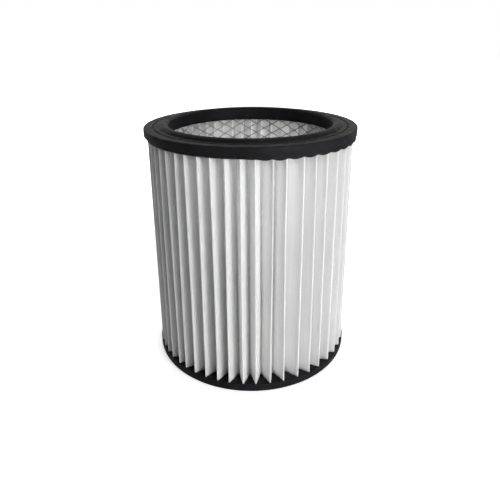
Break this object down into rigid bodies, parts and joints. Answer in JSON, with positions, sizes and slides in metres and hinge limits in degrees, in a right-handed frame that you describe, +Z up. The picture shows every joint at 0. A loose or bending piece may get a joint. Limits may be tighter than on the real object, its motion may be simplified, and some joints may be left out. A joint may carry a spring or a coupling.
{
  "type": "vacuum cleaner filter",
  "caption": "Cylindrical pleated cartridge filter with soft black end caps, a rounded sealing bead round its open top, white folded medium and an inner mesh tube.",
  "frame": {"origin": "centre of the bottom cap's resting face", "axes": "+Z up along the cartridge's axis, out of the open top; the pictured side faces -Y"},
  "size_m": [0.195, 0.195, 0.228],
  "materials": {
    "cap_rubber": "satin moulded skin",
    "filter_medium": "matte spunbonded sheet",
    "core_metal": "dull expanded metal"
  },
  "bodies": {
    "root": {"top_cap": "cap_rubber", "bottom_cap": "cap_rubber", "pleated_medium": "filter_medium", "support_core": "core_metal"}
  },
  "joints": []
}
